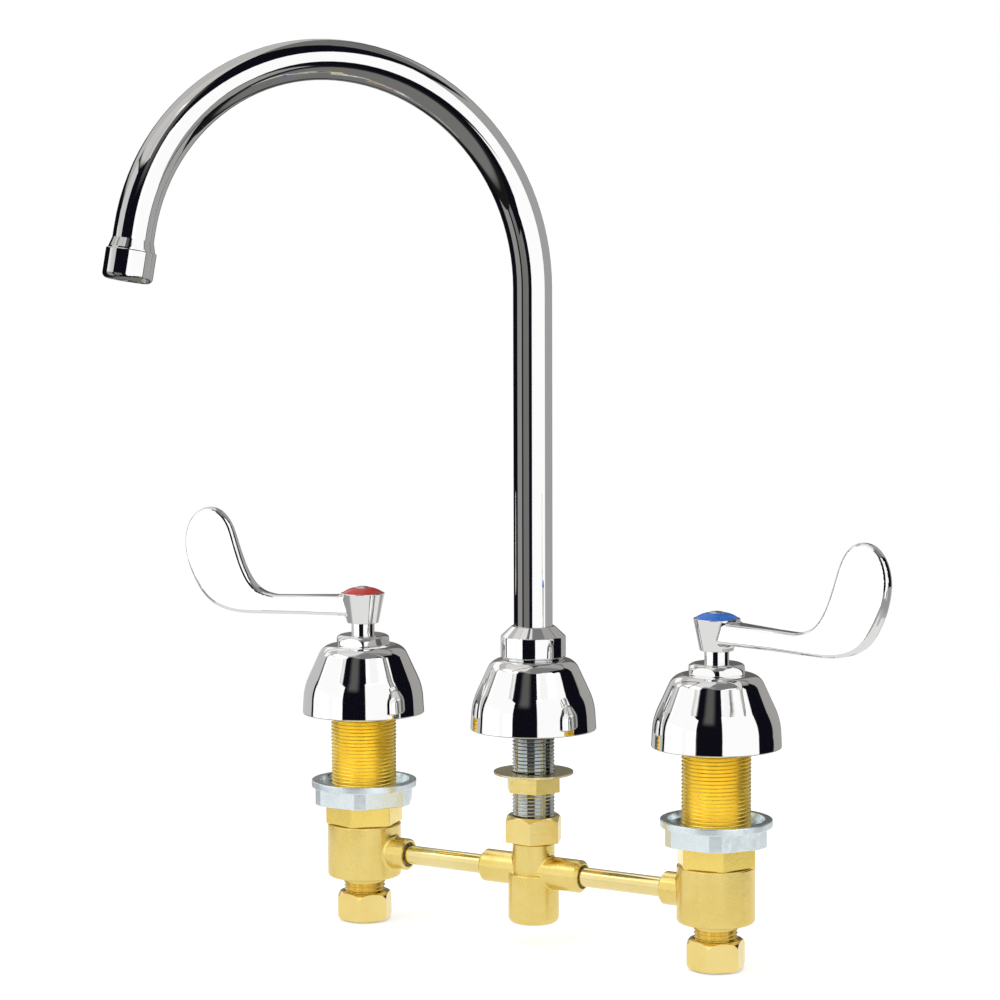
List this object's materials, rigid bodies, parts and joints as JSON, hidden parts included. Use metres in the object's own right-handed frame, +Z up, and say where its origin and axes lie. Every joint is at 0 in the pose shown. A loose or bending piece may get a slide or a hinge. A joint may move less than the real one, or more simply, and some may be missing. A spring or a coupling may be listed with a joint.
{
  "type": "deck-mounted lavatory faucet",
  "caption": "Widespread deck faucet: gooseneck spout that swings, wrist-blade hot and cold levers, bell covers, and brass valves joined under the deck by pipes and a tee.",
  "frame": {"origin": "centre of the spout hole on the top surface of the deck", "axes": "+X from the hot valve to the cold valve, +Y away from the user, +Z up"},
  "size_m": [0.3988, 0.2154, 0.4407],
  "materials": {
    "chrome": "polished",
    "thread_brass": "machined",
    "cast_brass": "satin, tumbled casting",
    "pipe_brass": "drawn, polished",
    "union_brass": "machined",
    "pale_zinc": "zinc plated casting",
    "nickel": "nickel plated, machined",
    "washer_brass": "stamped",
    "red_plastic": "moulded",
    "blue_plastic": "moulded",
    "screw_steel": "plated",
    "black_rubber": "matte",
    "fibre": "pressed fibre",
    "ceramic": "lapped",
    "insert_plastic": "moulded",
    "screen_steel": "woven screen as a plain disc",
    "acetal": "moulded",
    "solder": "tin solder"
  },
  "bodies": {
    "faucet_body": {"hot_valve_body": "cast_brass", "hot_threaded_shank": "thread_brass", "hot_locknut": "pale_zinc", "hot_escutcheon": "chrome", "hot_escutcheon_nut": "chrome", "hot_cartridge_housing": "chrome", "hot_bonnet_gasket": "fibre", "hot_thrust_washer": "acetal", "hot_fixed_disc": "ceramic", "hot_seat_seal": "black_rubber", "hot_coupling_nut": "cast_brass", "hot_cone_washer": "black_rubber", "cold_valve_body": "cast_brass", "cold_threaded_shank": "thread_brass", "cold_locknut": "pale_zinc", "cold_escutcheon": "chrome", "cold_escutcheon_nut": "chrome", "cold_cartridge_housing": "chrome", "cold_bonnet_gasket": "fibre", "cold_thrust_washer": "acetal", "cold_fixed_disc": "ceramic", "cold_seat_seal": "black_rubber", "cold_coupling_nut": "cast_brass", "cold_cone_washer": "black_rubber", "spout_shank": "nickel", "spout_escutcheon": "chrome", "spout_collar": "chrome", "spout_bearing_ring": "acetal", "deck_washer": "washer_brass", "deck_nut": "cast_brass", "union_nut": "union_brass", "union_gasket": "black_rubber", "tee_body": "cast_brass", "hot_cross_pipe": "pipe_brass", "cold_cross_pipe": "pipe_brass", "solder_rings": "solder"},
    "hot_lever": {"hot_stem": "union_brass", "hot_stem_o_rings": "black_rubber", "hot_rotating_disc": "ceramic", "hot_handle": "chrome", "hot_handle_screw": "screw_steel", "hot_index_ring": "red_plastic"},
    "cold_lever": {"cold_stem": "union_brass", "cold_stem_o_rings": "black_rubber", "cold_rotating_disc": "ceramic", "cold_handle": "chrome", "cold_handle_screw": "screw_steel", "cold_index_ring": "blue_plastic"},
    "spout": {"spout_tube": "chrome", "spout_bush": "union_brass", "spout_o_rings": "black_rubber", "outlet_adapter": "chrome", "aerator_shell": "chrome", "aerator_washer": "black_rubber", "aerator_screen": "screen_steel", "aerator_insert": "insert_plastic"}
  },
  "joints": [
    {"name": "hot_handle_turn", "type": "hinge", "parent": "faucet_body", "child": "hot_lever", "pos_m": [-0.1016, 0, 0], "axis": [0, 0, 1], "range_deg": [0, 90]},
    {"name": "cold_handle_turn", "type": "hinge", "parent": "faucet_body", "child": "cold_lever", "pos_m": [0.1016, 0, 0], "axis": [0, 0, 1], "range_deg": [-90, 0]},
    {"name": "spout_swing", "type": "hinge", "parent": "faucet_body", "child": "spout", "pos_m": [0, 0, 0], "axis": [0, 0, 1], "continuous": true}
  ]
}
